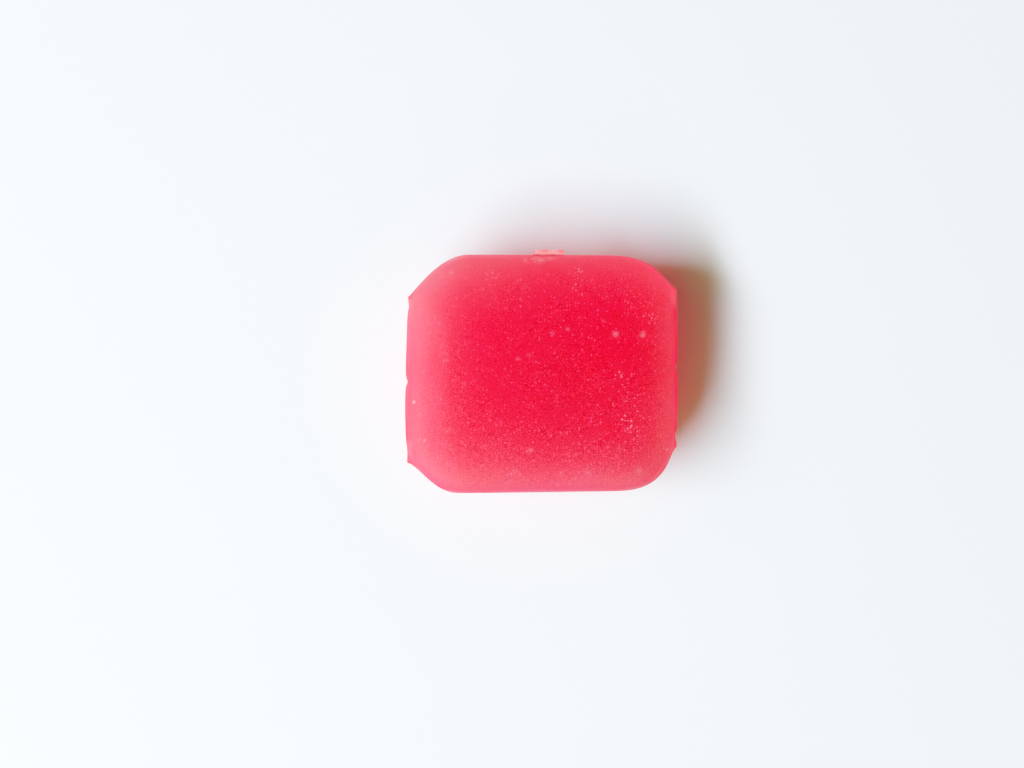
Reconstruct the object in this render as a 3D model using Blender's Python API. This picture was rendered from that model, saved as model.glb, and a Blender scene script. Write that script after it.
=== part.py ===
# Mochi rice cake, real size in metres, resting on the plane z = 0.
#
# One solid block of soft steamed rice cake, longest along x and thinnest along z.
# The block is a loft of closed rings.  Every ring follows the same plan outline, drawn in
# from it by a rounded profile above and below a seam at half height.  The ends taper to
# the seam like the ends of a pillow, and the front and back stay fuller.  At the seam the
# outline grows four corner ears and two nicks, and the back has a short crumpled lip.

import math

import bpy
import numpy as np

MM = 0.001

# Heights, in millimetres
HEIGHT = 20.0
SEAM_Z = 10.4
DOME = 0.45

# The rounded profile: how far the top and the base are drawn in at the ends and at the
# front and back, and how square each curve is
TOP_INSET = (8.0, 6.2)
TOP_POWER = (2.0, 2.4)
BASE_INSET = (6.2, 4.6)
BASE_POWER = (2.2, 2.7)

# Half sizes that the inset is measured against, in plan
HALF_SIZE = np.array([22.8, 20.0])

# Corner ears at the seam: where the tip lies, the way the outline leaves it in degrees
# from +x, the two handle lengths of the curve and where it meets the front or back edge
CORNERS = {
    "front_right": {"ear": (22.95, -12.4), "leaves": 213.0, "handles": (1.95, 9.3), "end": (12.6, -19.85)},
    "back_right": {"ear": (22.90, 14.1), "leaves": 140.0, "handles": (4.10, 7.4), "end": (11.6, 19.90)},
    "back_left": {"ear": (-22.50, 12.95), "leaves": 20.0, "handles": (1.00, 5.3), "end": (-12.2, 20.05)},
    "front_left": {"ear": (-22.65, -15.1), "leaves": -8.0, "handles": (2.20, 4.6), "end": (-13.8, -20.20)},
}

# The two end faces at the seam, from the first ear to the second: how far the face bows
# out, which end the bow leans to, the height and depth of its nick, and its dents, each
# with the ear it lies beside, its depth, its distance from the ear and its width
ENDS = {
    "right": {"ears": ("front_right", "back_right"), "bow": 0.14, "lean": 1.0, "nick": (1.1, 0.40),
              "dents": ((0, 0.34, 1.9, 1.1),)},
    "left": {"ears": ("back_left", "front_left"), "bow": 0.36, "lean": 1.4, "nick": (-1.4, 0.46),
             "dents": ((0, 0.26, 1.6, 1.0), (1, 0.40, 2.0, 1.5))},
}
NICK_WIDTH = 0.7

# The plain body is the seam outline smoothed over a length, then drawn in at the ends and
# at the front and back; the seam stands out of it over a height either side of its line
BODY_SMOOTHING = 1.7
BODY_STEP = (0.34, 0.05)
SEAM_HEIGHT = 1.5
SMOOTHING_POINTS = 720

# The lip on the back: where its middle lies, its half width and half thickness, how far
# it stands out, how blunt its ends are, and its crumple as waves in radians a millimetre
LIP_X = 1.2
LIP_HALF_WIDTH = 2.65
LIP_Z = 13.0
LIP_HALF_DEPTH = 0.62
LIP_REACH = 0.95
LIP_BLUNTNESS = 0.45
LIP_WANDER = (0.22, 2.3)
LIP_CRUMPLE = (0.26, 5.1)
LIP_CRUMPLE_START = 0.8
LIP_MARGIN = 0.5

# Slow unevenness of the top: each wave's height, its half turns over the half sizes and
# its phase.  It fades in from a height above the seam
TOP_WAVES = ((0.09, 1.1, 0.4, 0.7), (0.07, -0.5, 1.5, 2.1), (0.05, 1.9, 1.2, 4.0))
DOME_FADE = 4.0

# How finely the outline is cut, and where the rings lie beside the seam and the lip
END_STEPS = 20
CORNER_STEPS = 11
FRONT_STEPS = 9
LIP_STEPS = 15
BACK_STEPS = 4
BASE_RINGS = 7
SEAM_OFFSETS = (-1.9, -1.2, -0.6, 0.0, 0.6, 1.2)
LIP_OFFSETS = (-0.85, -0.4, 0.0, 0.4, 0.85)
SHOULDER_RINGS = 9
RING_GAP = 0.4
TOP_SCALES = (0.80, 0.54, 0.27)

CAKE_COLOUR = (0.77, 0.008, 0.052, 1.0)
CAKE_ROUGHNESS = 0.42


def clear_scene():
    for item in list(bpy.data.objects):
        bpy.data.objects.remove(item, do_unlink=True)


def shares(count):
    """Even shares of one, from 0 up to but not including 1."""
    return np.arange(count) / count


def curve(start, first, second, end, count):
    """Points along a cubic curve with two handles, without its last point."""
    t = shares(count)[:, None]
    return (1 - t) ** 3 * start + 3 * (1 - t) ** 2 * t * first + 3 * (1 - t) * t**2 * second + t**3 * end


def seam_corner(name, count, from_ear):
    """One corner of the seam outline, from the ear to the edge or back again."""
    corner = CORNERS[name]
    ear = np.array(corner["ear"])
    end = np.array(corner["end"])
    turn = math.radians(corner["leaves"])
    outward = np.array([math.copysign(1.0, ear[0]), 0.0])
    at_ear, at_edge = corner["handles"]
    knots = [ear, ear + at_ear * np.array([math.cos(turn), math.sin(turn)])]
    knots += [end + at_edge * outward, end]
    return curve(*(knots if from_ear else knots[::-1]), count)


def end_face(name, has_nick):
    """The seam along one end face, from its first ear up to its second."""
    face = ENDS[name]
    ears = [np.array(CORNERS[corner]["ear"]) for corner in face["ears"]]
    t = shares(END_STEPS)
    nick_y, nick_depth = face["nick"]
    nick_t = (nick_y - ears[0][1]) / (ears[1][1] - ears[0][1])
    t[np.argmin(np.abs(t - nick_t))] = nick_t
    points = ears[0] + (ears[1] - ears[0]) * t[:, None]
    out = face["bow"] * np.sin(math.pi * t ** face["lean"])
    if has_nick:
        out = out - nick_depth * np.exp(-np.abs(points[:, 1] - nick_y) / NICK_WIDTH)
    for ear, depth, away, width in face["dents"]:
        off = np.abs(points[:, 1] - ears[ear][1]) - away
        out = out - depth * np.exp(-((off / width) ** 2))
    points[:, 0] += math.copysign(1.0, ears[0][0]) * out
    return points


def straight(start, end, count):
    t = shares(count)[:, None]
    return np.array(start) + (np.array(end) - np.array(start)) * t


def back_edge(right_end, left_end):
    """The back edge, cut finely where the lip grows out of it."""
    reach = LIP_HALF_WIDTH + LIP_MARGIN
    lip_right = (LIP_X + reach, right_end[1])
    lip_left = (LIP_X - reach, 0.5 * (right_end[1] + left_end[1]))
    return np.concatenate([
        straight(right_end, lip_right, BACK_STEPS),
        straight(lip_right, lip_left, LIP_STEPS),
        straight(lip_left, left_end, BACK_STEPS + 1),
    ])


def seam_outline(has_nicks):
    """The plan outline at the seam, anticlockwise from the front right ear."""
    end = {name: corner["end"] for name, corner in CORNERS.items()}
    return np.concatenate([
        end_face("right", has_nicks),
        seam_corner("back_right", CORNER_STEPS, True),
        back_edge(end["back_right"], end["back_left"]),
        seam_corner("back_left", CORNER_STEPS, False),
        end_face("left", has_nicks),
        seam_corner("front_left", CORNER_STEPS, True),
        straight(end["front_left"], end["front_right"], FRONT_STEPS),
        seam_corner("front_right", CORNER_STEPS, False),
    ])


def body_outline(outline):
    """An outline smoothed round its length and drawn in, point for point beside it."""
    closed = np.concatenate([outline, outline[:1]])
    along = np.concatenate([[0.0], np.cumsum(np.linalg.norm(np.diff(closed, axis=0), axis=1))])
    length = along[-1]
    even = shares(SMOOTHING_POINTS) * length
    apart = np.minimum(even, length - even)
    weights = np.exp(-0.5 * (apart / BODY_SMOOTHING) ** 2)
    weights = np.fft.rfft(weights / weights.sum())
    smooth = []
    for axis in range(2):
        values = np.interp(even, along, closed[:, axis])
        values = np.fft.irfft(np.fft.rfft(values) * weights, SMOOTHING_POINTS)
        smooth.append(np.interp(along[:-1], even, values, period=length))
    return np.column_stack(smooth) * (1.0 - np.array(BODY_STEP) / HALF_SIZE)


def inset_at(z):
    """How far the profile is drawn in at a height, at the ends and at the front and back."""
    is_top = z >= SEAM_Z
    span = HEIGHT - DOME - SEAM_Z if is_top else SEAM_Z
    inset = np.array(TOP_INSET if is_top else BASE_INSET)
    power = np.array(TOP_POWER if is_top else BASE_POWER)
    share = min(abs(z - SEAM_Z) / span, 1.0)
    return inset * (1.0 - (1.0 - share**power) ** (1.0 / power))


def height_at(share, is_top):
    """The height at a share of the turn from the seam to the top or the base."""
    if is_top:
        return SEAM_Z + (HEIGHT - DOME - SEAM_Z) * math.sin(0.5 * math.pi * share) ** (2.0 / TOP_POWER[1])
    return SEAM_Z * (1.0 - math.sin(0.5 * math.pi * share) ** (2.0 / BASE_POWER[1]))


def ring_heights():
    """All ring heights from the base to the edge of the top, lowest first."""
    low = [height_at(1.0 - k / BASE_RINGS, False) for k in range(BASE_RINGS)]
    low = [z for z in low if z < SEAM_Z + SEAM_OFFSETS[0] - RING_GAP]
    seam = [SEAM_Z + offset for offset in SEAM_OFFSETS]
    lip = [LIP_Z + offset for offset in LIP_OFFSETS]
    high = [height_at(k / SHOULDER_RINGS, True) for k in range(SHOULDER_RINGS + 1)]
    high = [z for z in high if z > lip[-1] + RING_GAP]
    return low + seam + lip + high


def lip_reach(x, z):
    """How far the crumpled lip stands out of the back at a point."""
    across = np.clip(1.0 - ((x - LIP_X) / LIP_HALF_WIDTH) ** 2, 0.0, 1.0) ** LIP_BLUNTNESS
    middle = LIP_Z + LIP_WANDER[0] * np.sin(LIP_WANDER[1] * (x - LIP_X))
    deep = np.exp(-(((z - middle) / LIP_HALF_DEPTH) ** 2))
    crumple = 1.0 - LIP_CRUMPLE[0] * (0.5 + 0.5 * np.sin(LIP_CRUMPLE[1] * x + LIP_CRUMPLE_START))
    return LIP_REACH * across * deep * crumple


def ring_at(z, seam, body):
    """One ring: the body drawn in, with the seam growing out near its own height."""
    grown = math.exp(-(((z - SEAM_Z) / SEAM_HEIGHT) ** 2))
    plan = body * (1.0 - inset_at(z) / HALF_SIZE) + (seam - body) * grown
    is_back = plan[:, 1] > 0.0
    plan[:, 1] += np.where(is_back, lip_reach(plan[:, 0], z), 0.0)
    return np.column_stack([plan, np.full(len(plan), z)])


def add_top_waves(points):
    """Raise the top to its dome and give it a slow unevenness."""
    across = points[:, 0] / HALF_SIZE[0]
    along = points[:, 1] / HALF_SIZE[1]
    top_z = HEIGHT - DOME
    fade_start = SEAM_Z + DOME_FADE
    is_top = np.clip((points[:, 2] - fade_start) / (top_z - fade_start), 0.0, 1.0) ** 2
    away = np.clip(across**2 + along**2, 0.0, 1.0)
    raised = DOME * (1.0 - away)
    for size, turns_x, turns_y, phase in TOP_WAVES:
        raised = raised + size * np.sin(math.pi * (turns_x * across + turns_y * along) + phase)
    points[:, 2] += raised * is_top


def cake_points():
    """Every ring of the cake in millimetres, then the middle of the base and of the top."""
    seam = seam_outline(True)
    body = body_outline(seam_outline(False))
    rings = [ring_at(z, seam, body) for z in ring_heights()]
    edge = rings[-1]
    rings += [edge * np.array([scale, scale, 1.0]) for scale in TOP_SCALES]
    around = len(seam)
    middle = np.array([[0.0, 0.0, 0.0], [0.0, 0.0, HEIGHT - DOME]])
    points = np.concatenate(rings + [middle])
    add_top_waves(points)
    return points, around, len(rings)


def cake_faces(around, ring_count):
    """Quads between the rings, and a fan over the base and over the top."""
    faces = []
    base_middle = around * ring_count
    top_middle = base_middle + 1
    last = around * (ring_count - 1)
    for ring in range(ring_count - 1):
        for k in range(around):
            here = ring * around + k
            beside = ring * around + (k + 1) % around
            faces.append((here, beside, beside + around, here + around))
    for k in range(around):
        after = (k + 1) % around
        faces.append((after, k, base_middle))
        faces.append((last + k, last + after, top_middle))
    return faces


def make_material(name, colour, roughness):
    material = bpy.data.materials.new(name)
    material.use_nodes = True
    shader = material.node_tree.nodes["Principled BSDF"]
    shader.inputs["Base Color"].default_value = colour
    shader.inputs["Roughness"].default_value = roughness
    shader.inputs["Metallic"].default_value = 0.0
    material.diffuse_color = colour
    return material


def build_cake(collection):
    points, around, ring_count = cake_points()
    low = points.min(axis=0)
    high = points.max(axis=0)
    points -= np.array([(low[0] + high[0]) / 2, (low[1] + high[1]) / 2, low[2]])
    mesh = bpy.data.meshes.new("rice_cake")
    mesh.from_pydata((points * MM).tolist(), [], cake_faces(around, ring_count))
    mesh.update()
    mesh.materials.append(make_material("rice_cake_pink", CAKE_COLOUR, CAKE_ROUGHNESS))
    cake = bpy.data.objects.new("rice_cake", mesh)
    collection.objects.link(cake)
    return cake


def main():
    clear_scene()
    collection = bpy.data.collections.new("mochi_rice_cake")
    bpy.context.scene.collection.children.link(collection)
    build_cake(collection)


main()
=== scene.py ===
"""The looks of a mochi rice cake: one soft, translucent crimson block on a plain pale floor.

The block's form is worked out from the same outline and profile as its solid, on a much
finer grid.  Bubbles, small folds and the crumpled lip are relief in that grid, and the
grain of the steamed dough is in its finish.  Lengths of the block are in millimetres until
its mesh is made.  The frame, every mesh and the studio are in metres.
"""

import logging
import math
from collections.abc import Iterator
from dataclasses import dataclass, field
from enum import Enum
from typing import Any

import bpy
import numpy as np
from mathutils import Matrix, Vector


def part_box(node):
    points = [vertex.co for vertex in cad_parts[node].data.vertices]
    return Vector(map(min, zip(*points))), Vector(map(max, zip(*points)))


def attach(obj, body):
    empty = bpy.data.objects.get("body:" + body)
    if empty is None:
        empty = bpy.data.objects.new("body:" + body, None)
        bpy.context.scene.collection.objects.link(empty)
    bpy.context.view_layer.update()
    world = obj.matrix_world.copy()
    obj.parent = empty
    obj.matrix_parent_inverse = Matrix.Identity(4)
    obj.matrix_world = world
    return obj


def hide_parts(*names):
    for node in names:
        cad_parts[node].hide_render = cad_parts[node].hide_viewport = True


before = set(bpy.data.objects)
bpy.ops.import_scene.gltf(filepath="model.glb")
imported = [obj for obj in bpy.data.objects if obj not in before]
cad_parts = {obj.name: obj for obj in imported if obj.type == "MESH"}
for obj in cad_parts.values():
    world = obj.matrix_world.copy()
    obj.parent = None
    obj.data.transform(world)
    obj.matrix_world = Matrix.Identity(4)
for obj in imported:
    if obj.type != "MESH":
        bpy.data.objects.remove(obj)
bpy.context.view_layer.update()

MM = 0.001
NODE = "rice_cake"
PIECE = "rice_cake_dough"
log = logging.getLogger(NODE)

Array = np.ndarray
Faces = list[list[int]]
Pair = tuple[float, float]
Triple = tuple[float, float, float]
Socket = bpy.types.NodeSocket


def shares(count: int) -> Array:
    """Even shares of one, from 0 up to but not including 1."""
    return np.arange(count) / count


def smooth_step(low: float, high: float, value: Array) -> Array:
    """Rise from 0 at low to 1 at high, level at both ends: 3t^2 - 2t^3."""
    t = np.clip((value - low) / (high - low), 0.0, 1.0)
    return t * t * (3.0 - 2.0 * t)


class Corner(Enum):
    """The four corners of the plan, each with its signs along x and y."""

    FRONT_RIGHT = (1, -1)
    BACK_RIGHT = (1, 1)
    BACK_LEFT = (-1, 1)
    FRONT_LEFT = (-1, -1)


@dataclass(frozen=True)
class Ear:
    """A corner of the seam outline, which ends in a small ear.

    Args:
        tip: Where the ear's tip lies, in plan.
        leaves: The way the outline leaves the tip, in degrees from +x.
        handles: The lengths of the curve's handles, at the tip and at the far end.
        end: Where the curve meets the front or back edge.
    """

    tip: Pair
    leaves: float
    handles: Pair
    end: Pair

    def curve(self, count: int, from_tip: bool) -> Array:
        """Points of the corner's cubic curve, without its last point.

        Args:
            count: How many points.
            from_tip: True to run from the tip to the edge, False to run back.

        Returns:
            An array of plan points, (1-t)^3 a + 3(1-t)^2 t b + 3(1-t) t^2 c + t^3 d.
        """
        tip, end = np.array(self.tip), np.array(self.end)
        turn = math.radians(self.leaves)
        outward = np.array([math.copysign(1.0, self.tip[0]), 0.0])
        knots = [tip, tip + self.handles[0] * np.array([math.cos(turn), math.sin(turn)])]
        knots += [end + self.handles[1] * outward, end]
        a, b, c, d = knots if from_tip else knots[::-1]
        t = shares(count)[:, None]
        return (1 - t) ** 3 * a + 3 * (1 - t) ** 2 * t * b + 3 * (1 - t) * t**2 * c + t**3 * d


@dataclass(frozen=True)
class Dent:
    """A shallow dent in an end face.

    Args:
        ear: Which of the face's two ears it is measured from, 0 or 1.
        depth, width: The size of its bell curve.
        away: How far its middle is from that ear.
    """

    ear: int
    depth: float
    away: float
    width: float


@dataclass(frozen=True)
class EndFace:
    """One pillow-like end at the seam: a bow between two ears, with a nick and dents.

    Args:
        ears: Its corners, in the outline's order.
        bow: How far its middle stands out.
        lean: How far the bow leans to the first ear (under 1) or the second (over 1).
        nick_y, nick_depth, nick_width: Where the nick is, and its size.
        dents: Its shallow dents.
    """

    ears: tuple[Corner, Corner]
    bow: float
    lean: float
    nick_y: float
    nick_depth: float
    nick_width: float
    dents: tuple[Dent, ...]


@dataclass(frozen=True)
class Outline:
    """The plan outline of the block at its seam, and of the plain body inside it."""

    ears: dict[Corner, Ear]
    right: EndFace
    left: EndFace
    half_size: Pair = (22.8, 20.0)
    smoothing: float = 1.7
    body_step: Pair = (0.34, 0.05)
    fine_steps: int = 400

    def end_face(self, face: EndFace, has_nick: bool) -> Array:
        """Plan points along an end face, from its first ear up to its second.

        The face is a straight line between the ears, plus bow * sin(pi t^lean), less the
        nick, depth * e^(-|y - y0| / width), and less each dent, a bell curve.

        Args:
            face: The end face.
            has_nick: False to leave the nick out.

        Returns:
            An array of plan points, without the second ear's own.
        """
        first, last = (np.array(self.ears[corner].tip) for corner in face.ears)
        t = shares(self.fine_steps)
        points = first + (last - first) * t[:, None]
        out = face.bow * np.sin(math.pi * t**face.lean)
        if has_nick:
            off = np.abs(points[:, 1] - face.nick_y)
            out -= face.nick_depth * np.exp(-off / face.nick_width)
        for dent in face.dents:
            off = np.abs(points[:, 1] - (first, last)[dent.ear][1]) - dent.away
            out -= dent.depth * np.exp(-((off / dent.width) ** 2))
        points[:, 0] += math.copysign(1.0, first[0]) * out
        return points

    def seam(self, has_nicks: bool) -> Array:
        """The whole seam outline, anticlockwise from the front right ear, finely cut.

        Args:
            has_nicks: False to leave the ends' nicks out.

        Returns:
            An array of plan points: eight runs, each of as many points as fine_steps.
        """
        steps = self.fine_steps
        ears = self.ears
        back = (ears[Corner.BACK_RIGHT].end, ears[Corner.BACK_LEFT].end)
        front = (ears[Corner.FRONT_LEFT].end, ears[Corner.FRONT_RIGHT].end)
        share = shares(steps)[:, None]
        straight = [np.array(a) + (np.array(b) - np.array(a)) * share for a, b in (back, front)]
        return np.concatenate([
            self.end_face(self.right, has_nicks),
            ears[Corner.BACK_RIGHT].curve(steps, True),
            straight[0],
            ears[Corner.BACK_LEFT].curve(steps, False),
            self.end_face(self.left, has_nicks),
            ears[Corner.FRONT_LEFT].curve(steps, True),
            straight[1],
            ears[Corner.FRONT_RIGHT].curve(steps, False),
        ])

    def body(self) -> Array:
        """The outline without nicks, blurred round its length and drawn in a little.

        Returns:
            An array of plan points, as many as the seam has.
        """
        points = self.seam(False)
        along, length = arc_length(points)
        even = shares(len(points)) * length
        apart = np.minimum(even, length - even)
        weights = np.exp(-0.5 * (apart / self.smoothing) ** 2)
        weights = np.fft.rfft(weights / weights.sum())
        smooth = []
        for axis in range(2):
            values = np.interp(even, along, points[:, axis], period=length)
            values = np.fft.irfft(np.fft.rfft(values) * weights, len(points))
            smooth.append(np.interp(along, even, values, period=length))
        return np.column_stack(smooth) * (1.0 - np.array(self.body_step) / self.half_size)


def arc_length(points: Array) -> tuple[Array, float]:
    """How far along a closed line each of its points lies, and its whole length."""
    gaps = np.linalg.norm(np.roll(points, -1, axis=0) - points, axis=1)
    return np.concatenate([[0.0], np.cumsum(gaps)[:-1]]), float(gaps.sum())


@dataclass(frozen=True)
class Profile:
    """How the outline is drawn in with height, by a rounded square rule."""

    height: float = 20.0
    seam_z: float = 10.4
    dome: float = 0.45
    dome_fade: float = 4.0
    top_inset: Pair = (8.0, 6.2)
    top_power: Pair = (2.0, 2.4)
    base_inset: Pair = (6.2, 4.6)
    base_power: Pair = (2.2, 2.7)
    seam_height: float = 1.5
    fine_steps: int = 2000
    crowding: float = 0.8
    waves: tuple[tuple[float, float, float, float], ...] = (
        (0.09, 1.1, 0.4, 0.7),
        (0.07, -0.5, 1.5, 2.1),
        (0.05, 1.9, 1.2, 4.0),
    )

    @property
    def top_z(self) -> float:
        """The height of the edge of the top, under its dome."""
        return self.height - self.dome

    def inset(self, z: Array) -> Array:
        """How far the plan is drawn in at each height, at the ends and at front and back.

        The rule is inset * (1 - (1 - s^p)^(1/p)), with s the share of the way from the
        seam to the top or the base.

        Args:
            z: The heights.

        Returns:
            An array of heights by two.
        """
        z = np.asarray(z, float)[:, None]
        above = z >= self.seam_z
        span = np.where(above, self.top_z - self.seam_z, self.seam_z)
        inset = np.where(above, self.top_inset, self.base_inset)
        power = np.where(above, self.top_power, self.base_power)
        share = np.minimum(np.abs(z - self.seam_z) / span, 1.0)
        return inset * (1.0 - np.maximum(1.0 - share**power, 0.0) ** (1.0 / power))

    def heights(self, is_top: bool, count: int) -> Array:
        """Heights of rings evenly spaced along the profile, from the seam to its end.

        Args:
            is_top: True to end at the top, False to end at the base.
            count: How many gaps there are between the rings.

        Returns:
            An array of count + 1 heights.
        """
        end = self.top_z if is_top else 0.0
        turn = np.linspace(0.0, 0.5 * math.pi, self.fine_steps)
        fine = self.seam_z + (end - self.seam_z) * np.sin(turn) ** self.crowding
        inset = self.inset(fine).mean(axis=1)
        along = np.concatenate([[0.0], np.cumsum(np.hypot(np.diff(fine), np.diff(inset)))])
        return np.interp(np.linspace(0.0, along[-1], count + 1), along, fine)

    def raise_top(self, points: Array, half_size: Pair) -> None:
        """Lift the top, in place, by its dome, 1 - r^2, and by slow waves.

        Args:
            points: The block's points.
            half_size: Half the block's size in plan, which r is a share of.
        """
        across, along = points[:, 0] / half_size[0], points[:, 1] / half_size[1]
        fade_start = self.seam_z + self.dome_fade
        is_top = np.clip((points[:, 2] - fade_start) / (self.top_z - fade_start), 0.0, 1.0) ** 2
        raised = self.dome * (1.0 - np.clip(across**2 + along**2, 0.0, 1.0))
        for size, turns_x, turns_y, phase in self.waves:
            turn = math.pi * (turns_x * across + turns_y * along) + phase
            raised = raised + size * np.sin(turn)
        points[:, 2] += raised * is_top


@dataclass(frozen=True)
class Lip:
    """The short crumpled lip that stands out of the back."""

    x: float = 1.2
    half_width: float = 2.65
    z: float = 13.0
    half_depth: float = 0.62
    reach: float = 0.95
    bluntness: float = 0.30
    wander: Pair = (0.08, 2.3)
    crumple: Pair = (0.12, 5.1)
    crumple_start: float = 0.8

    def across(self, x: Array) -> Array:
        """How much of the lip there is along x: a blunt bump, (1 - u^8)^bluntness."""
        return np.clip(1.0 - ((x - self.x) / self.half_width) ** 8, 0.0, 1.0) ** self.bluntness

    def stands_out(self, x: Array, z: Array) -> Array:
        """How far the lip stands out of the back: reach * across * bell(z) * crumple.

        Args:
            x: Places along the back.
            z: Their heights.

        Returns:
            An array of lengths.
        """
        middle = self.z + self.wander[0] * np.sin(self.wander[1] * (x - self.x))
        deep = np.exp(-(((z - middle) / self.half_depth) ** 2))
        size, turns = self.crumple
        crumple = 1.0 - size * (0.5 + 0.5 * np.sin(turns * x + self.crumple_start))
        return self.reach * self.across(x) * deep * crumple


@dataclass(frozen=True)
class Bubble:
    """A steam bubble, or a fold of the skin when stretched: a paler spot and a low blister.

    Args:
        x, y: Its place in the block's plan.
        radius: Its radius.
        paleness: How pale its middle is, from 0 to 1.
        stretch: How many times longer than wide it is.
        turn: The way it is stretched, in degrees from +x.
    """

    x: float
    y: float
    radius: float
    paleness: float
    stretch: float = 1.0
    turn: float = 0.0

    def bell(self, points: Array) -> Array:
        """The bubble's bell curve, e^(-(u / stretch)^2 - v^2) in radii.

        Args:
            points: The block's points near it.

        Returns:
            A value from 0 to 1 for each point.
        """
        turn = math.radians(self.turn)
        x, y = (points[:, 0] - self.x) / self.radius, (points[:, 1] - self.y) / self.radius
        u = x * math.cos(turn) + y * math.sin(turn)
        v = y * math.cos(turn) - x * math.sin(turn)
        return np.exp(-((u / self.stretch) ** 2) - v**2)


@dataclass(frozen=True)
class Cluster:
    """A place where the dough is full of tiny bright bubbles, which are specks in its finish.

    Args:
        x, y: Its place in the block's plan.
        spread: How far it reaches along x and y.
        strength: How much brighter than elsewhere its specks are.
    """

    x: float
    y: float
    spread: Pair
    strength: float

    def bell(self, points: Array) -> Array:
        """The cluster's strength at each point, strength * e^(-u^2 - v^2) in spreads."""
        u, v = ((points[:, :2] - (self.x, self.y)) / self.spread).T
        return self.strength * np.exp(-(u**2) - v**2)


@dataclass
class CakeGrid:
    """The block's fine grid: a square net over the top, then rings down to the base."""

    outline: Outline
    profile: Profile
    lip: Lip
    half_net: int = 74
    top_rings: int = 46
    base_rings: int = 34
    lip_share: float = 0.28
    lip_margin: float = 2.0
    edge_steps: int = 4000
    base_scales: tuple[float, ...] = (0.66, 0.33)
    points: Array = field(default_factory=lambda: np.zeros((0, 3)))
    faces: Faces = field(default_factory=list)

    @property
    def around(self) -> int:
        """How many points a ring has, eight for each step of the net from its middle."""
        return 8 * self.half_net

    def stations(self) -> Array:
        """Where the ring's points lie along the fine outline.

        The net's four corners sit at the middles of the outline's four corner curves, and
        the back has a greater share of its points where the lip is.

        Returns:
            Places in the outline's list of points, one for each point of a ring.
        """
        seam = self.outline.seam(False)
        whole = len(seam)
        along, length = arc_length(seam)
        places, along = np.arange(whole + 1), np.append(along, length)
        corners = self.outline.fine_steps * (2.0 * np.arange(5) + 1.5)
        found = []
        for k in range(4):
            fine = np.linspace(corners[k], corners[k + 1], self.edge_steps)
            wrapped = np.mod(fine, whole)
            there = np.interp(wrapped, places, along) + np.where(fine >= whole, length, 0.0)
            weight = np.ones(len(fine))
            if k == 0:
                off = np.abs(np.interp(wrapped, places[:-1], seam[:, 0]) - self.lip.x)
                width = self.lip.half_width
                near = smooth_step(width + self.lip_margin, width, off)
                weight = 1.0 + near * self.lip_weight(there[-1] - there[0])
            gaps = 0.5 * (weight[1:] + weight[:-1]) * np.diff(there)
            spread = np.concatenate([[0.0], np.cumsum(gaps)])
            even = np.linspace(0.0, spread[-1], 2 * self.half_net + 1)[:-1]
            found.append(np.interp(even, spread, fine))
        return np.mod(np.concatenate(found), whole)

    def lip_weight(self, edge_length: float) -> float:
        """How much denser the points are at the lip, for it to have its share of the back."""
        wide = 2.0 * self.lip.half_width / edge_length
        return self.lip_share * (1.0 - wide) / (wide * (1.0 - self.lip_share)) - 1.0

    def rings(self, heights: Array, seam: Array, body: Array) -> Array:
        """Rings at the given heights: the body drawn in, with the seam and the lip grown out.

        Args:
            heights: The rings' heights.
            seam: The seam outline's points.
            body: The body outline's points.

        Returns:
            An array of rings by points by three.
        """
        half = np.array(self.outline.half_size)
        scale = 1.0 - self.profile.inset(heights) / half
        grown = np.exp(-(((heights - self.profile.seam_z) / self.profile.seam_height) ** 2))
        plan = body[None] * scale[:, None] + (seam - body)[None] * grown[:, None, None]
        z = np.repeat(heights[:, None], len(seam), axis=1)
        is_back = plan[..., 1] > 0.0
        plan[..., 1] += np.where(is_back, self.lip.stands_out(plan[..., 0], z), 0.0)
        return np.concatenate([plan, z[..., None]], axis=2)

    def build(self) -> None:
        """Work out every point and face of the closed surface."""
        at = self.stations()
        fine = np.hstack([self.outline.seam(True), self.outline.body()])
        places = np.arange(len(fine))
        columns = [np.interp(at, places, values, period=len(fine)) for values in fine.T]
        seam, body = np.column_stack(columns[:2]), np.column_stack(columns[2:])
        down = self.profile.heights(True, self.top_rings)[::-1]
        below = self.profile.heights(False, self.base_rings)[1:]
        walls = self.rings(np.concatenate([down, below]), seam, body)
        net, rim = self.net(walls[0])
        base = [walls[-1] * np.array([scale, scale, 1.0]) for scale in self.base_scales]
        rest = np.concatenate([walls[1:].reshape(-1, 3), *base, np.zeros((1, 3))])
        self.points = np.concatenate([net, rest])
        self.profile.raise_top(self.points, self.outline.half_size)
        self.faces = self.net_faces() + self.wall_faces(rim, len(net), len(walls) - 1 + len(base))

    def net(self, edge: Array) -> tuple[Array, Array]:
        """The square net over the top, whose squares shrink from the edge to the middle.

        Args:
            edge: The ring round the top.

        Returns:
            The net's points, and the places in them of the outermost ring.
        """
        n = self.half_net
        i, j = (a.ravel() for a in np.mgrid[-n : n + 1, -n : n + 1])
        ring = np.maximum(np.abs(i), np.abs(j))
        back, left = (j == ring) & (i > -ring), (i == -ring) & (j > -ring)
        front, right = (j == -ring) & (i < ring), i == ring
        turn = np.select(
            [back, left, front, right], [ring - i, 3 * ring - j, 5 * ring + i, 7 * ring + j]
        )
        place = np.where(ring > 0, turn * n / np.maximum(ring, 1), 0.0)
        numbers = np.arange(self.around)
        wide = np.column_stack([
            np.interp(place, numbers, values, period=self.around) for values in edge.T
        ])
        wide[:, :2] *= (ring / n)[:, None]
        wide[:, 2] = edge[0, 2]
        outer = np.flatnonzero(ring == n)
        return wide, outer[np.argsort(np.mod(turn[outer], self.around))]

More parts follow.
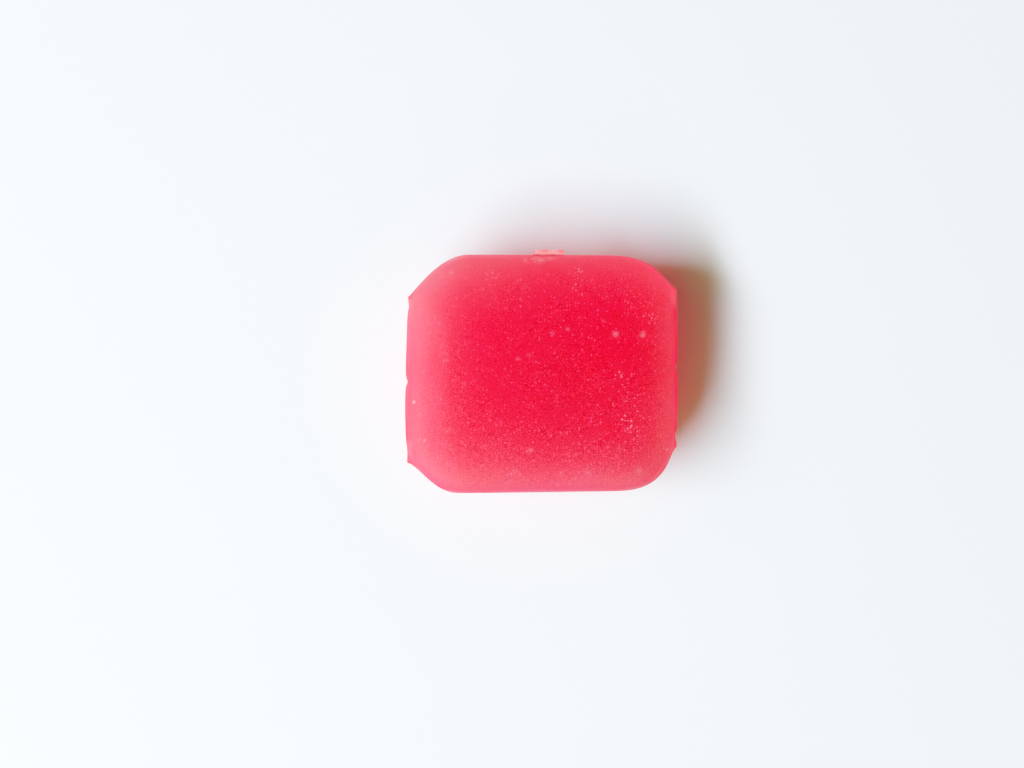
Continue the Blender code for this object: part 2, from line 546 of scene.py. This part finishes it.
    def net_faces(self) -> Faces:
        """The net's square faces, facing up.

        Returns:
            Four places in the net's points for each face.
        """
        side = 2 * self.half_net + 1
        i, j = (a.ravel() for a in np.mgrid[: side - 1, : side - 1])
        corner = i * side + j
        return np.column_stack([corner, corner + side, corner + side + 1, corner + 1]).tolist()

    def wall_faces(self, rim: Array, first: int, rings: int) -> Faces:
        """The faces of the rings under the top's edge, then a fan over the base.

        Args:
            rim: The places of the net's outermost ring.
            first: The place of the first point after the net's.
            rings: How many rings there are under the net's edge.

        Returns:
            Four or three places in the points for each face.
        """
        numbers = first + np.arange(rings * self.around).reshape(rings, self.around)
        upper = np.concatenate([rim[None], numbers[:-1]])
        after = np.roll(np.arange(self.around), -1)
        quads = np.stack([upper, numbers, numbers[:, after], upper[:, after]], axis=2)
        last, middle = numbers[-1], first + rings * self.around
        fan = np.column_stack([last[after], last, np.full(self.around, middle)])
        return quads.reshape(-1, 4).tolist() + fan.tolist()


@dataclass
class MochiRelief:
    """What the steam left on the surface: blisters, folds over the lip and bright specks.

    Args:
        grid: The block's grid.
        bubbles: The bubbles and folds that have places of their own.
        clusters: Where the bright specks crowd together.
        small_bubbles, seed: How many small bubbles there are, and the seed of their places.
        small_margin: How far those keep from the edges.
        small_radius, small_paleness: The least of each, and how much more it can be.
        blister_height, blister_reach: A blister's height and greatest reach, in radii.
        above_seam: How far over the seam the relief starts.
    """

    grid: CakeGrid
    bubbles: tuple[Bubble, ...]
    clusters: tuple[Cluster, ...]
    small_bubbles: int = 130
    small_margin: float = 2.0
    small_radius: Pair = (0.18, 0.16)
    small_paleness: Pair = (0.02, 0.05)
    seed: int = 7
    blister_height: float = 0.10
    blister_reach: float = 3.0
    above_seam: float = 2.0

    def all_bubbles(self) -> Iterator[Bubble]:
        """The bubbles with places of their own, then the seeded small ones.

        Yields:
            One bubble after another.
        """
        yield from self.bubbles
        rng = np.random.default_rng(self.seed)
        half = np.array(self.grid.outline.half_size) - self.small_margin
        for _ in range(self.small_bubbles):
            x, y = (rng.random(2) * 2.0 - 1.0) * half
            radius = self.small_radius[0] + self.small_radius[1] * rng.random() ** 3
            paleness = self.small_paleness[0] + self.small_paleness[1] * rng.random()
            yield Bubble(float(x), float(y), float(radius), float(paleness))

    def sparkle(self, points: Array) -> Array:
        """How much brighter the specks are in the clusters, from 0 up."""
        is_top = points[:, 2] > self.grid.profile.seam_z
        return is_top * sum(cluster.bell(points) for cluster in self.clusters)

    def fields(self, points: Array) -> tuple[Array, Array]:
        """The relief's height and paleness, to which each bubble adds its bell curve.

        Args:
            points: The block's points.

        Returns:
            An array of heights and one of paleness, both zero under the top.
        """
        height = np.zeros(len(points))
        pale = np.zeros(len(points))
        is_top = points[:, 2] > self.grid.profile.seam_z + self.above_seam
        for bubble in self.all_bubbles():
            off = np.hypot(points[:, 0] - bubble.x, points[:, 1] - bubble.y)
            near = is_top & (off < self.blister_reach * bubble.radius * bubble.stretch)
            bell = bubble.bell(points[near])
            height[near] += self.blister_height * bubble.radius * bell
            pale[near] = np.maximum(pale[near], bubble.paleness * bell)
        return height, pale


@dataclass(frozen=True)
class CakeColours:
    """The dough's colours, linear, and how they change over the block.

    The core's green lies under zero, so that in the deepest dough only the brighter grains
    have any.  A value with five parts is a sum of 1, x, y, |xy| and xy, with x and y as
    shares of the half size, so that each end, side and corner has its own.  The edges'
    paleness is partly the thin dough's own and partly painted light: it is paler and reaches
    further on the left and front, where the window's light falls.  The very rim and a band
    on the left shoulder are made less pale, which is painted shade, and the seam and a line
    over the lip are darkened with painted shade.

    Args:
        core, pale: The dough at a paleness of 0 and of 1.
        grain: What a full grain adds.
        edge_paleness_and_painted_light, edge_depth, edge_power: The edges' paleness, its reach and
        sharpness.
        wall_share: How far from the top and base counts, against plan depth.
        rim_painted_shade, rim_depth: How much less pale the very rim is, and how far in it goes.
        shoulder_painted_shade, shoulder_depth: The same for a band on the left, its middle and
            width.
        deep_at, deep_reach: Where the dough looks deepest, and how far round there.
        deep_rise: How much paler the rest is.
        ear_paleness, ear_from: How much paler the ears are, and from where to where.
        lip_paleness: The paleness of the lip.
        lip_streaks: The size, turns and start of its streaks.
        lip_crest: How far over the lip's middle its palest line lies.
        lip_height: How far its paleness reaches over and under that line.
        lip_overlap, lip_fade: How far its paleness goes along the lip, and how it fades.
        rim_shade, rim_height: How much darker the seam is, which is painted shade, and how
            far that reaches.
        groove_shade, groove_width: The same for a painted shadow line over the lip, where its
            upper side meets the wall.
        groove_rise: How far over the lip's middle that line is.
        coarse_depth: The plan depths between which the grain grows to its full strength.
        coarse_edge, coarse_slope: Its share at the edges, and its growth along x and y.
    """

    core: Triple = (0.94, -0.0134, 0.0243)
    pale: Triple = (0.97, 0.485, 0.424)
    grain: Triple = (0.18, 0.0125, 0.0135)
    # partly painted light: the edges are paler and the paleness reaches further on the left and
    # front, toward the window; the rest is the thin dough's own paleness
    edge_paleness_and_painted_light: tuple[float, ...] = (0.085, -0.0286, -0.0091, 0.0657, -0.0269)
    edge_depth: tuple[float, ...] = (7.09, -3.11, -1.53, 4.42, 1.03)
    edge_power: float = 2.06
    wall_share: float = 0.35
    # painted shade: the very rim is less pale
    rim_painted_shade: tuple[float, ...] = (0.80, 0.16, -0.26, 0.0, 0.0)
    rim_depth: float = 1.2
    # painted shade: a band on the left shoulder is less pale
    shoulder_painted_shade: float = 0.28
    shoulder_depth: Pair = (5.6, 1.9)
    deep_at: Pair = (11.9, 5.8)
    deep_reach: float = 8.5
    deep_rise: float = 0.021
    ear_paleness: float = 0.07
    ear_from: tuple[Pair, Pair] = ((20.8, 22.2), (10.5, 12.2))
    lip_paleness: float = 0.60
    lip_streaks: Triple = (0.12, 2.15, 2.1)
    lip_crest: float = 0.62
    lip_height: Pair = (0.42, 0.60)
    lip_overlap: float = 1.15
    lip_fade: Pair = (1.1, 0.2)
    # painted shade along the seam, and a painted shadow line over the lip
    rim_shade: float = 0.16
    rim_height: float = 2.0
    groove_shade: float = 0.50
    groove_rise: float = 1.45
    groove_width: float = 0.4
    coarse_depth: Pair = (0.5, 8.0)
    coarse_edge: float = 0.6
    coarse_slope: Pair = (0.012, -0.018)


@dataclass(frozen=True)
class CakeFinish:
    """The moist, slightly translucent finish of the steamed dough.

    A speck is the clamped first number of speck_edge less the second times the distance from
    its cell's middle, times the cell's luck, which speck_luck stretches to leave half of the
    cells without one, and which speck_cluster raises in the clusters.
    """

    colours: CakeColours = CakeColours()
    roughness: float = 0.4
    roughness_spread: float = 0.10
    ior: float = 1.4
    ior_level: float = 0.05
    scatter_weight: float = 1.0
    scatter_scale: float = 0.001
    scatter_radius: Triple = (60.0, 0.5, 1.0)
    grain_size: float = 0.16
    grain_gain: float = 14.0
    speck_size: float = 0.50
    speck_gain: float = 5.5
    speck_edge: Pair = (2.0, 5.0)
    speck_luck: Pair = (2.0, 1.0)
    speck_cluster: float = 0.2
    speck_bump: float = 0.5
    bump_distance: float = 0.00003
    bump_strength: float = 0.6

    def build(self, name: str) -> bpy.types.Material:
        """Make the material.

        Base colour goes from core to pale by the mesh's paleness plus the grain, which is
        fine noise and bright specks.  The paleness holds painted light and painted shade as
        well as the dough's own paleness, and the shade attribute darkens the colour with
        painted shade.  The noise also drives roughness, and both a low bump.

        Args:
            name: The material's name.

        Returns:
            The material.
        """
        colours = self.colours
        graph = NodeGraph.for_material(name)
        place = graph.node("ShaderNodeTexCoord").outputs["Object"]
        paleness, coarseness = graph.attribute("paleness"), graph.attribute("coarseness")
        sparkle, shade = graph.attribute("sparkle"), graph.attribute("shade")
        fine = graph.noise(place, self.grain_size, detail=1.0)
        size = {"Vector": place, "Scale": 1.0 / (self.speck_size * MM)}
        cell = graph.node("ShaderNodeTexVoronoi", {"feature": "F1"}, size)
        near = Signal(graph, cell.outputs["Distance"])
        parts = graph.node("ShaderNodeSeparateColor", {}, {"Color": cell.outputs["Color"]})
        luck = Signal(graph, parts.outputs["Red"])
        spot = (self.speck_edge[0] - near * self.speck_edge[1]).clamped()
        luck = luck * self.speck_luck[0] - self.speck_luck[1] + sparkle * self.speck_cluster
        speck = spot * luck.clamped()
        specks = speck * (sparkle + 1.0) * self.speck_gain
        grain = ((fine - 0.5) * self.grain_gain + specks) * coarseness
        rise = tuple(np.subtract(colours.pale, colours.core))
        # the paleness holds painted light and painted shade besides the dough's own paleness
        dough = graph.vector_math("MULTIPLY_ADD", graph.grey(paleness), rise, colours.core)
        grained = graph.vector_math("MULTIPLY_ADD", graph.grey(grain), colours.grain, dough)
        kept = graph.vector_math("MAXIMUM", grained, (0.0, 0.0, 0.0))
        kept = graph.vector_math("MINIMUM", kept, (1.0, 1.0, 1.0))
        # the shade attribute darkens the colour: painted shade along the seam and a painted shadow
        # line over the lip
        colour = graph.vector_math("MULTIPLY", kept, graph.grey(1.0 - shade))
        bump = graph.node("ShaderNodeBump", {}, {
            "Height": (fine + speck * self.speck_bump).socket,
            "Distance": self.bump_distance,
            "Strength": self.bump_strength,
        })
        roughness = (fine - 0.5) * self.roughness_spread + self.roughness
        shader = graph.node("ShaderNodeBsdfPrincipled", {}, {
            "Base Color": colour,
            "Roughness": roughness.socket,
            "IOR": self.ior,
            "Specular IOR Level": self.ior_level,
            "Subsurface Weight": self.scatter_weight,
            "Subsurface Scale": self.scatter_scale,
            "Subsurface Radius": self.scatter_radius,
            "Normal": bump.outputs["Normal"],
        })
        graph.output(shader.outputs["BSDF"])
        return graph.owner


class Signal:
    """A number in a node graph, which takes Python's operators and adds Math nodes."""

    def __init__(self, graph: "NodeGraph", socket: Socket) -> None:
        """Wrap a socket of the graph."""
        self.graph = graph
        self.socket = socket

    def _math(self, operation: str, first: Any, second: Any) -> "Signal":
        """Add a Math node.

        Args:
            operation: What it does.
            first: Its first value, a Signal or a plain number.
            second: Its second value.

        Returns:
            The node's result.
        """
        values = [v.socket if isinstance(v, Signal) else float(v) for v in (first, second)]
        node = self.graph.node("ShaderNodeMath", {"operation": operation}, dict(enumerate(values)))
        return Signal(self.graph, node.outputs[0])

    def __add__(self, other: Any) -> "Signal":
        """Self plus other."""
        return self._math("ADD", self, other)

    def __radd__(self, other: Any) -> "Signal":
        """Other plus self."""
        return self._math("ADD", other, self)

    def __sub__(self, other: Any) -> "Signal":
        """Self less other."""
        return self._math("SUBTRACT", self, other)

    def __rsub__(self, other: Any) -> "Signal":
        """Other less self."""
        return self._math("SUBTRACT", other, self)

    def __mul__(self, other: Any) -> "Signal":
        """Self times other."""
        return self._math("MULTIPLY", self, other)

    def __rmul__(self, other: Any) -> "Signal":
        """Other times self."""
        return self._math("MULTIPLY", other, self)

    def clamped(self) -> "Signal":
        """Self, kept from 0 to 1."""
        node = self.graph.node("ShaderNodeClamp", {}, {"Value": self.socket})
        return Signal(self.graph, node.outputs[0])


class NodeGraph:
    """A material's or a world's node tree, built one node at a time."""

    def __init__(self, owner: Any, output_type: str) -> None:
        """Empty the owner's tree and give it an output node.

        Args:
            owner: The material or world.
            output_type: The type of its output node.
        """
        owner.use_nodes = True
        self.owner = owner
        self.tree = owner.node_tree
        self.tree.nodes.clear()
        self.end = self.node(output_type)

    @classmethod
    def for_material(cls, name: str) -> "NodeGraph":
        """A graph for a new material."""
        return cls(bpy.data.materials.new(name), "ShaderNodeOutputMaterial")

    def node(
        self, kind: str, settings: dict | None = None, inputs: dict | None = None
    ) -> bpy.types.Node:
        """Add any node.

        Args:
            kind: The node's type.
            settings: Its properties, set before its sockets.
            inputs: Its sockets by name or number, each with a value or a socket to link.

        Returns:
            The new node.
        """
        node = self.tree.nodes.new(kind)
        for key, value in (settings or {}).items():
            setattr(node, key, value)
        for key, value in (inputs or {}).items():
            if isinstance(value, Socket):
                self.tree.links.new(value, node.inputs[key])
            else:
                node.inputs[key].default_value = value
        return node

    def attribute(self, name: str) -> Signal:
        """A number kept in the mesh."""
        node = self.node("ShaderNodeAttribute", {"attribute_name": name})
        return Signal(self, node.outputs["Fac"])

    def vector_math(self, operation: str, *values: Any) -> Socket:
        """A Vector Math node on sockets or plain vectors."""
        inputs = dict(enumerate(values))
        return self.node("ShaderNodeVectorMath", {"operation": operation}, inputs).outputs[0]

    def noise(self, place: Socket, size: float, detail: float) -> Signal:
        """Noise whose cells are about size millimetres across."""
        inputs = {"Vector": place, "Scale": 1.0 / (size * MM), "Detail": detail, "Roughness": 0.5}
        return Signal(self, self.node("ShaderNodeTexNoise", {}, inputs).outputs["Fac"])

    def grey(self, value: Signal) -> Socket:
        """A vector with the same value along all three axes."""
        inputs = {axis: value.socket for axis in range(3)}
        return self.node("ShaderNodeCombineXYZ", {}, inputs).outputs[0]

    def output(self, shader: Socket) -> None:
        """Link the shader to the surface output."""
        self.tree.links.new(shader, self.end.inputs["Surface"])


@dataclass
class RiceCake:
    """The block itself: its fine mesh, its paleness and its finish.

    Args:
        grid, relief, finish: What it is made of.
        outline_skip: Plan depth is measured to one in so many points of the outline.
        batch: How many of the block's points are measured at once.
    """

    grid: CakeGrid
    relief: MochiRelief
    finish: CakeFinish
    outline_skip: int = 10
    batch: int = 4096

    def plan_depth(self, points: Array) -> Array:
        """How far each point lies inside the outline in plan.

        Args:
            points: The block's points.

        Returns:
            The distance to the nearest point of the outline, for each point.
        """
        body = self.grid.outline.body()[:: self.outline_skip]
        depth = np.empty(len(points))
        for start in range(0, len(points), self.batch):
            part = points[start : start + self.batch, None, :2] - body[None]
            depth[start : start + self.batch] = np.sqrt((part**2).sum(axis=2).min(axis=1))
        return depth

    def paleness(self, points: Array, spots: Array) -> Array:
        """How pale the dough is: more near its edges, where it is thin, and on the lip.

        The edges give edge * e^(-(d / depth)^power), with d the plan depth or a share of
        the way from the top or the base, whichever is more, and less at the very rim.  This
        is partly the thin dough's own paleness and partly painted light, paler and reaching
        further on the left and front, where the window's light falls.  The less pale very
        rim, and a less pale band on the left shoulder, are painted shade.

        Args:
            points: The block's points.
            spots: The paleness of the bubbles.

        Returns:
            A value from 0 to 1 for each point.
        """
        colours = self.finish.colours
        x, y, z = points.T
        from_faces = np.clip(np.minimum(z, self.grid.profile.height - z), 0.0, None)
        plan_depth = self.plan_depth(points)
        depth = np.maximum(plan_depth, colours.wall_share * from_faces)
        half = self.grid.outline.half_size
        across, along = np.clip(x / half[0], -1.0, 1.0), np.clip(y / half[1], -1.0, 1.0)
        product = across * along
        sides = np.stack([np.ones(len(x)), across, along, np.abs(product), product])
        fade = np.exp(-((depth / (colours.edge_depth @ sides)) ** colours.edge_power))
        # edge paleness: the thin dough's own, plus painted light, paler and wider on the left and
        # front
        edge = colours.edge_paleness_and_painted_light @ sides * fade
        # painted shade: the very rim is made less pale
        edge *= 1.0 - colours.rim_painted_shade @ sides * np.exp(-((plan_depth / colours.rim_depth) ** 2))
        # painted shade on the left shoulder: a band there is made less pale
        middle, width = colours.shoulder_depth
        shoulder = np.maximum(-across, 0.0) * np.exp(-(((plan_depth - middle) / width) ** 2))
        edge *= 1.0 - colours.shoulder_painted_shade * shoulder
        from_deep = (x - colours.deep_at[0]) ** 2 + (y - colours.deep_at[1]) ** 2
        edge += colours.deep_rise * (1.0 - np.exp(-from_deep / colours.deep_reach**2))
        ranges = zip(colours.ear_from, (x, y))
        ears = [smooth_step(low, high, np.abs(place)) for (low, high), place in ranges]
        edge += colours.ear_paleness * ears[0] * ears[1]
        return np.clip(edge + spots + self.lip_paleness(points), 0.0, 1.0)

    def lip_paleness(self, points: Array) -> Array:
        """How pale the lip is: a rounded patch, streaked along its length.

        The patch is full or gone by lip_fade's share of (u / width)^6 + (v / height)^2.

        Args:
            points: The block's points.

        Returns:
            A value for each point, zero away from the lip.
        """
        colours, lip = self.finish.colours, self.grid.lip
        x, y, z = points.T
        size, turns, middle = colours.lip_streaks
        crest = lip.z + colours.lip_crest
        height = np.where(z > crest, *colours.lip_height)
        width = lip.half_width * colours.lip_overlap
        patch = ((x - lip.x) / width) ** 6 + ((z - crest) / height) ** 2
        streaks = 1.0 + size * np.cos(turns * (x - middle))
        return colours.lip_paleness * (y > 0.0) * smooth_step(*colours.lip_fade, patch) * streaks

    def shade(self, points: Array) -> Array:
        """How much darker the dough is along the seam and in the groove over the lip.

        Both are painted: painted shade along the seam, and a painted shadow line, the groove,
        just over the lip, where its upper side meets the wall.  Each is a bell curve of the
        height, and there is none along the seam by the lip.

        Args:
            points: The block's points.

        Returns:
            A value from 0 to 1 for each point.
        """
        colours, lip = self.finish.colours, self.grid.lip
        x, y, z = points.T
        from_seam = (z - self.grid.profile.seam_z) / colours.rim_height
        from_groove = (z - lip.z - colours.groove_rise) / colours.groove_width
        at_lip = (y > 0.0) * lip.across(x)
        # painted shadow line just over the lip
        groove = at_lip * np.exp(-(from_groove**2))
        # painted shade along the seam
        rim = colours.rim_shade * np.exp(-(from_seam**2)) * ((1.0 - groove) * (1.0 - at_lip))
        return np.clip(rim + colours.groove_shade * groove, 0.0, 1.0)

    def coarseness(self, points: Array) -> Array:
        """How strong the grain is: most in the middle and low right, least at the edges.

        Args:
            points: The block's points.

        Returns:
            A value for each point, about 1 in the middle.
        """
        colours = self.finish.colours
        inward = smooth_step(*colours.coarse_depth, self.plan_depth(points))
        strength = colours.coarse_edge + (1.0 - colours.coarse_edge) * inward
        return strength * (1.0 + points[:, :2] @ colours.coarse_slope)

    def build(self) -> bpy.types.Object:
        """Make the mesh in metres, centred over its base, and dress it.

        Returns:
            The block's object.
        """
        self.grid.build()
        points = self.grid.points
        mesh = mesh_from(PIECE, points, self.grid.faces)
        normals = np.empty(len(points) * 3, np.float32)
        mesh.vertex_normals.foreach_get("vector", normals)
        blisters, spots = self.relief.fields(points)
        # the paleness carries painted light at the left and front edges and painted shade at the
        # rim and the left shoulder
        fields = {"paleness": self.paleness(points, spots), "coarseness": self.coarseness(points)}
        # shade: painted shade along the seam and a painted shadow line over the lip
        fields |= {"shade": self.shade(points), "sparkle": self.relief.sparkle(points)}
        points = self.fitted(points + normals.reshape(-1, 3) * blisters[:, None])
        mesh.vertices.foreach_set("co", (points * MM).astype(np.float32).ravel())
        for name, values in fields.items():
            attribute = mesh.attributes.new(name, "FLOAT", "POINT")
            attribute.data.foreach_set("value", values.astype(np.float32))
        mesh.polygons.foreach_set("use_smooth", np.ones(len(mesh.polygons), bool))
        mesh.update()
        piece = bpy.data.objects.new(mesh.name, mesh)
        bpy.context.scene.collection.objects.link(piece)
        mesh.materials.append(self.finish.build(PIECE))
        return piece

    def fitted(self, points: Array) -> Array:
        """Centre the points over the base, and keep them inside the solid's own box.

        Args:
            points: The block's points.

        Returns:
            The new points.
        """
        low, high = (np.array(corner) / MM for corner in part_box(NODE))
        middle = 0.5 * (points.min(axis=0) + points.max(axis=0))
        points = points - np.array([middle[0], middle[1], points[:, 2].min()])
        return np.clip(points, low, high)


def mesh_from(name: str, points: Array, faces: Faces) -> bpy.types.Mesh:
    """Make a mesh.

    Args:
        name: Its name.
        points: Its points.
        faces: The places of each face's points, anticlockwise from outside.

    Returns:
        The mesh.
    """
    mesh = bpy.data.meshes.new(name)
    mesh.from_pydata(points.tolist(), [], faces)
    mesh.update()
    return mesh


@dataclass(frozen=True)
class SoftLight:
    """A flat studio light that points at the block.

    Args:
        name: Its name.
        azimuth, elevation: Where it stands, in degrees from +x and from the floor.
        distance: How far away it is, in metres.
        half_angles: Half its width and half its height, in distances.
        power: Its red, green and blue power, in watts.
    """

    name: str
    azimuth: float
    elevation: float
    distance: float
    half_angles: Pair
    power: Triple

    def build(self, target: Vector) -> None:
        """Place the light.

        Args:
            target: What it points at.
        """
        data = bpy.data.lights.new(self.name, "AREA")
        data.shape = "RECTANGLE"
        data.size, data.size_y = (2.0 * self.distance * half for half in self.half_angles)
        data.energy = max(self.power)
        data.color = [part / data.energy for part in self.power]
        light = bpy.data.objects.new(self.name, data)
        turn, rise = math.radians(self.azimuth), math.radians(self.elevation)
        flat = math.cos(rise)
        way = Vector((math.cos(turn) * flat, math.sin(turn) * flat, math.sin(rise)))
        light.location = target + way * self.distance
        light.rotation_euler = way.to_track_quat("Z", "Y").to_euler()
        bpy.context.scene.collection.objects.link(light)


@dataclass(frozen=True)
class Studio:
    """The plain floor, the soft light and the camera straight above, in metres."""

    camera_place: Triple = (-0.00494, -0.00205, 0.260)
    lens: float = 51.98
    sensor: float = 36.0
    nearest: float = 0.01
    aim_height: float = 0.01
    floor_size: float = 1.8
    floor_colour: tuple[float, float, float, float] = (0.80, 0.80, 0.80, 1.0)
    floor_roughness: float = 0.9
    floor_gloss: float = 0.1
    world_colour: Triple = (0.006, 0.008, 0.0)
    horizon_colour: Triple = (0.80, 0.81, 0.82)
    horizon_height: float = 0.2
    tone_power: float = 1.18
    tone_knee: float = 0.40
    tone_white: float = 0.956
    tone_range: float = 2.0
    tone_points: int = 17
    tone_spacing: float = 1.5
    lights: tuple[SoftLight, ...] = (
        SoftLight("window", 205.7, 47.0, 1.2, (0.47, 0.09), (17.9, 20.1, 25.6)),
        SoftLight("fill", 214.0, 46.0, 1.2, (1.37, 0.215), (7.4, 9.8, 3.6)),
        SoftLight("bounce", 36.0, 1.5, 1.2, (1.4, 0.02), (19.5, 13.0, 16.0)),
    )

    def add_camera(self) -> None:
        """Add the camera, looking straight down with +y up in the picture."""
        data = bpy.data.cameras.new("camera")
        data.lens = self.lens
        data.sensor_width = self.sensor
        data.clip_start = self.nearest
        camera = bpy.data.objects.new("camera", data)
        camera.location = self.camera_place
        bpy.context.scene.collection.objects.link(camera)
        bpy.context.scene.camera = camera

    def add_floor(self) -> None:
        """Add a plain pale floor at the block's base."""
        signs = np.array([[-1.0, -1.0, 0.0], [1.0, -1.0, 0.0], [1.0, 1.0, 0.0], [-1.0, 1.0, 0.0]])
        mesh = mesh_from("floor", signs * 0.5 * self.floor_size, [[0, 1, 2, 3]])
        floor = bpy.data.objects.new("floor", mesh)
        graph = NodeGraph.for_material("floor")
        shader = graph.node("ShaderNodeBsdfPrincipled", {}, {
            "Base Color": self.floor_colour,
            "Roughness": self.floor_roughness,
            "Specular IOR Level": self.floor_gloss,
        })
        graph.output(shader.outputs["BSDF"])
        floor.data.materials.append(graph.owner)
        bpy.context.scene.collection.objects.link(floor)

    def add_world(self) -> None:
        """Dim light from all round, with a pale band along the horizon as a backdrop."""
        graph = NodeGraph(bpy.data.worlds.new("studio"), "ShaderNodeOutputWorld")
        way = graph.node("ShaderNodeTexCoord").outputs["Generated"]
        rise = Signal(graph, graph.node("ShaderNodeSeparateXYZ", {}, {0: way}).outputs["Z"])
        band = (1.0 - rise * (1.0 / self.horizon_height)).clamped()
        colours = graph.grey(band), self.horizon_colour, self.world_colour
        colour = graph.vector_math("MULTIPLY_ADD", *colours)
        graph.output(graph.node("ShaderNodeBackground", {}, {"Color": colour}).outputs[0])
        bpy.context.scene.world = graph.owner

    def set_tone(self) -> None:
        """Roll off the highlights as a camera does: white * x^p (1 + k) / (x^p + k)."""
        view = bpy.context.scene.view_settings
        view.view_transform = "Standard"
        view.use_curve_mapping = True
        mapping = view.curve_mapping
        mapping.white_level = (self.tone_range,) * 3
        places = np.linspace(0.0, 1.0, self.tone_points) ** self.tone_spacing
        raised = (places * self.tone_range) ** self.tone_power
        values = self.tone_white * raised * (1.0 + self.tone_knee) / (raised + self.tone_knee)
        points = mapping.curves[3].points
        for place, value in zip(places[1:-1], values[1:-1]):
            points.new(place, value)
        points[0].location = (0.0, 0.0)
        points[-1].location = (1.0, values[-1])
        mapping.update()

    def build(self) -> None:
        """Set up all but the block, and the plain way the picture is shown."""
        self.add_camera()
        self.add_floor()
        self.add_world()
        for light in self.lights:
            light.build(Vector((0.0, 0.0, self.aim_height)))
        self.set_tone()


OUTLINE = Outline(
    ears={
        Corner.FRONT_RIGHT: Ear((22.95, -12.4), 213.0, (1.95, 9.3), (12.6, -19.85)),
        Corner.BACK_RIGHT: Ear((22.90, 14.1), 140.0, (4.10, 7.4), (11.6, 19.90)),
        Corner.BACK_LEFT: Ear((-22.50, 12.95), 20.0, (1.00, 5.3), (-12.2, 20.05)),
        Corner.FRONT_LEFT: Ear((-22.65, -15.1), -8.0, (2.20, 4.6), (-13.8, -20.20)),
    },
    right=EndFace(
        (Corner.FRONT_RIGHT, Corner.BACK_RIGHT), 0.14, 1.0, 1.1, 0.40, 0.7,
        (Dent(0, 0.30, 1.9, 1.1),),
    ),
    left=EndFace(
        (Corner.BACK_LEFT, Corner.FRONT_LEFT), 0.36, 1.4, -1.4, 0.46, 0.7,
        (Dent(0, 0.20, 1.6, 1.0), Dent(1, 0.16, 2.0, 1.5)),
    ),
)

LARGE_BUBBLES = tuple(Bubble(*row) for row in (
    (11.94, 6.34, 0.47, 0.286),
    (16.36, 6.24, 0.47, 0.273),
    (4.1, 7.17, 0.33, 0.169),
    (9.9, 8.47, 0.28, 0.156),
    (1.71, 6.49, 0.38, 0.143),
    (-3.97, 2.32, 0.3, 0.156),
    (-2.02, 2.93, 0.28, 0.13),
    (-1.77, -12.55, 0.4, 0.143),
    (12.91, -0.22, 0.24, 0.13),
    (11.29, 1.24, 0.24, 0.117),
    (15.84, -15.96, 0.55, 0.104),
    (7.56, -16.12, 0.5, 0.091),
    (-14.84, 16.44, 0.2, 0.25),
    (12.6, -12.3, 0.34, 0.117),
    (-21.1, -4.76, 0.17, 0.9),
    (-19.2, -11, 0.18, 0.3),
    (20.8, -12.6, 0.18, 0.35),
    (-15.5, 2.1, 0.2, 0.156),
    (-4.4, -15.9, 0.4, 0.091),
    (-2.72, 18.55, 0.28, 0.182),
))

FOLDS = tuple(Bubble(*row) for row in (
    (-1.41, 18.76, 0.13, 0.26, 3, 0),
    (-0.83, 19.05, 0.13, 0.28, 3.8, 4),
    (-0.27, 18.7, 0.14, 0.34, 3.8, 20),
    (0.1, 18.48, 0.13, 0.2, 5, 8),
    (1.43, 19.04, 0.13, 0.24, 7, 2),
    (1.3, 18.62, 0.14, 0.12, 4.5, 0),
    (-1.11, 18.2, 0.14, 0.16, 1.8, 0),
    (-0.21, 18, 0.2, 0.09, 2, 0),
    (0.2, 18.86, 0.12, 0.16, 3, -6),
))

CLUSTERS = tuple(Cluster(*row) for row in (
    (-3.6, 13.9, (0.8, 1.3), 2.4),
    (-3.1, 11.8, (0.7, 0.9), 2),
    (-8.4, 15.9, (1.2, 1.2), 2.2),
    (6.2, 14.5, (1.1, 1.4), 2.4),
    (5.9, 17.3, (1.1, 1.2), 2.4),
    (17.5, 9.4, (1.2, 1.4), 1.8),
    (12.6, -0.6, (1, 1.4), 2.2),
    (13.2, -4.6, (1.3, 2.2), 1.8),
    (14, -8.4, (1.6, 2.1), 1.6),
    (-4.6, -16, (1.4, 0.8), 1.6),
    (10.5, 12.5, (4, 3), 0.7),
    (4, 6.8, (4, 2), 0.6),
))


def main() -> None:
    """Build the studio and the rice cake, and report each piece."""
    logging.basicConfig(level=logging.INFO, format="%(name)s: %(message)s")
    Studio().build()
    grid = CakeGrid(OUTLINE, Profile(), Lip())
    relief = MochiRelief(grid, LARGE_BUBBLES + FOLDS, CLUSTERS)
    cake = RiceCake(grid, relief, CakeFinish()).build()
    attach(cake, "root")
    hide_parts(NODE)
    mesh = cake.data
    log.info("%s: %d points, %d faces", cake.name, len(mesh.vertices), len(mesh.polygons))


if __name__ == "__main__":
    main()
